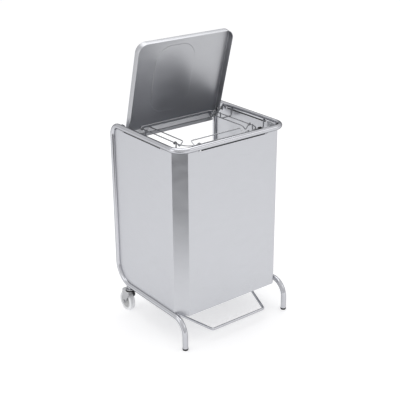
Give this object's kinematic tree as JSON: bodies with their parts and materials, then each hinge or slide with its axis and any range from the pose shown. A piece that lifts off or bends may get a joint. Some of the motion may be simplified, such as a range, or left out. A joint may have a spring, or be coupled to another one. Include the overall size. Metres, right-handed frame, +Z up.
{
  "type": "linen trolley",
  "caption": "Steel tube laundry bag trolley with sheet cladding on three sides, a wire bag ring, front feet, rear castors and a lid opened by a pedal through a pull rod.",
  "frame": {"origin": "floor level, centre of the bounding box in plan with the lid open", "axes": "+Z up, front (pedal side) faces -Y, +X to the right seen from the front"},
  "size_m": [0.6487, 0.5714, 1.3332],
  "materials": {
    "polished_tube": "polished stainless tube",
    "satin_sheet": "fine satin stainless sheet",
    "lid_sheet": "bright stainless sheet",
    "bright_wire": "bright wire",
    "plated_castor": "bright plating",
    "foot_black": "black moulded plastic",
    "buffer_rubber": "soft rubber",
    "grey_nylon": "grey nylon",
    "pale_tyre": "pale non-marking rubber"
  },
  "bodies": {
    "frame": {"rim_tube": "polished_tube", "side_tube_left": "polished_tube", "side_tube_right": "polished_tube", "foot_cap_left": "foot_black", "foot_cap_right": "foot_black", "cladding": "satin_sheet", "rim_seals": "buffer_rubber", "weld_tabs": "polished_tube", "floor_front": "satin_sheet", "floor_middle": "satin_sheet", "floor_rear": "satin_sheet", "cross_tube_front": "polished_tube", "cross_tube_mid": "polished_tube", "cross_tube_rear": "polished_tube", "lid_lug_left": "polished_tube", "lid_lug_right": "polished_tube", "lid_pin_left": "polished_tube", "lid_pin_right": "polished_tube", "bag_ring": "bright_wire", "ring_strut_front_left": "bright_wire", "ring_strut_front_right": "bright_wire", "ring_strut_rear_left": "bright_wire", "ring_strut_rear_right": "bright_wire", "lid_buffer_left": "buffer_rubber", "lid_buffer_right": "buffer_rubber", "pedal_lug_left": "polished_tube", "pedal_lug_right": "polished_tube", "pedal_pin_left": "polished_tube", "pedal_pin_right": "polished_tube", "castor_socket_left": "plated_castor", "castor_socket_right": "plated_castor", "castor_stud_left": "plated_castor", "castor_stud_right": "plated_castor"},
    "lid": {"lid_panel": "lid_sheet", "lid_edge": "lid_sheet", "lid_stiffener": "satin_sheet", "lid_bush_left": "grey_nylon", "lid_bush_right": "grey_nylon", "rod_lug": "polished_tube", "hook_pin": "bright_wire"},
    "pedal": {"pedal_loop": "polished_tube", "pedal_bush_left": "polished_tube", "pedal_bush_right": "polished_tube", "rod_pin": "bright_wire"},
    "pull_rod_body": {"pull_rod": "bright_wire"},
    "swing_left": {"swing_wire_left": "bright_wire"},
    "swing_right": {"swing_wire_right": "bright_wire"},
    "swing_front": {"swing_wire_front": "bright_wire"},
    "castor_left": {"fork_left": "plated_castor", "dust_cap_left": "foot_black", "axle_left": "plated_castor"},
    "castor_right": {"fork_right": "plated_castor", "dust_cap_right": "foot_black", "axle_right": "plated_castor"},
    "wheel_left": {"hub_left": "grey_nylon", "tyre_left": "pale_tyre"},
    "wheel_right": {"hub_right": "grey_nylon", "tyre_right": "pale_tyre"}
  },
  "joints": [
    {"name": "lid_hinge", "type": "hinge", "parent": "frame", "child": "lid", "pos_m": [0, 0.208, 0.919], "axis": [1, 0, 0], "range_deg": [0, 75]},
    {"name": "pedal_hinge", "type": "hinge", "parent": "frame", "child": "pedal", "pos_m": [0, 0.225, 0.12], "axis": [-1, 0, 0], "range_deg": [0, 8.6]},
    {"name": "rod_hinge", "type": "hinge", "parent": "pedal", "child": "pull_rod_body", "pos_m": [0.244, 0.045, 0.09859], "axis": [-1, 0, 0], "range_deg": [-7.3, 0]},
    {"name": "swing_left_hinge", "type": "hinge", "parent": "frame", "child": "swing_left", "pos_m": [-0.212, 0.039, 0.924], "axis": [0, 1, 0], "range_deg": [0, 80]},
    {"name": "swing_right_hinge", "type": "hinge", "parent": "frame", "child": "swing_right", "pos_m": [0.212, 0.039, 0.924], "axis": [0, -1, 0], "range_deg": [0, 80]},
    {"name": "swing_front_hinge", "type": "hinge", "parent": "frame", "child": "swing_front", "pos_m": [0, -0.17, 0.924], "axis": [-1, 0, 0], "range_deg": [0, 80]},
    {"name": "castor_left_swivel", "type": "hinge", "parent": "frame", "child": "castor_left", "pos_m": [-0.3, 0.18, 0.11], "axis": [0, 0, 1], "continuous": true},
    {"name": "castor_right_swivel", "type": "hinge", "parent": "frame", "child": "castor_right", "pos_m": [0.3, 0.18, 0.11], "axis": [0, 0, 1], "continuous": true},
    {"name": "wheel_left_spin", "type": "hinge", "parent": "castor_left", "child": "wheel_left", "pos_m": [-0.29895, 0.20998, 0.05], "axis": [0.9994, -0.0349, 0], "continuous": true},
    {"name": "wheel_right_spin", "type": "hinge", "parent": "castor_right", "child": "wheel_right", "pos_m": [0.29895, 0.20998, 0.05], "axis": [0.9994, 0.0349, 0], "continuous": true}
  ],
  "couplings": [
    {"joint": "pedal_hinge", "follows": "lid_hinge", "ratio": 0.11386},
    {"joint": "rod_hinge", "follows": "lid_hinge", "ratio": -0.0958}
  ]
}
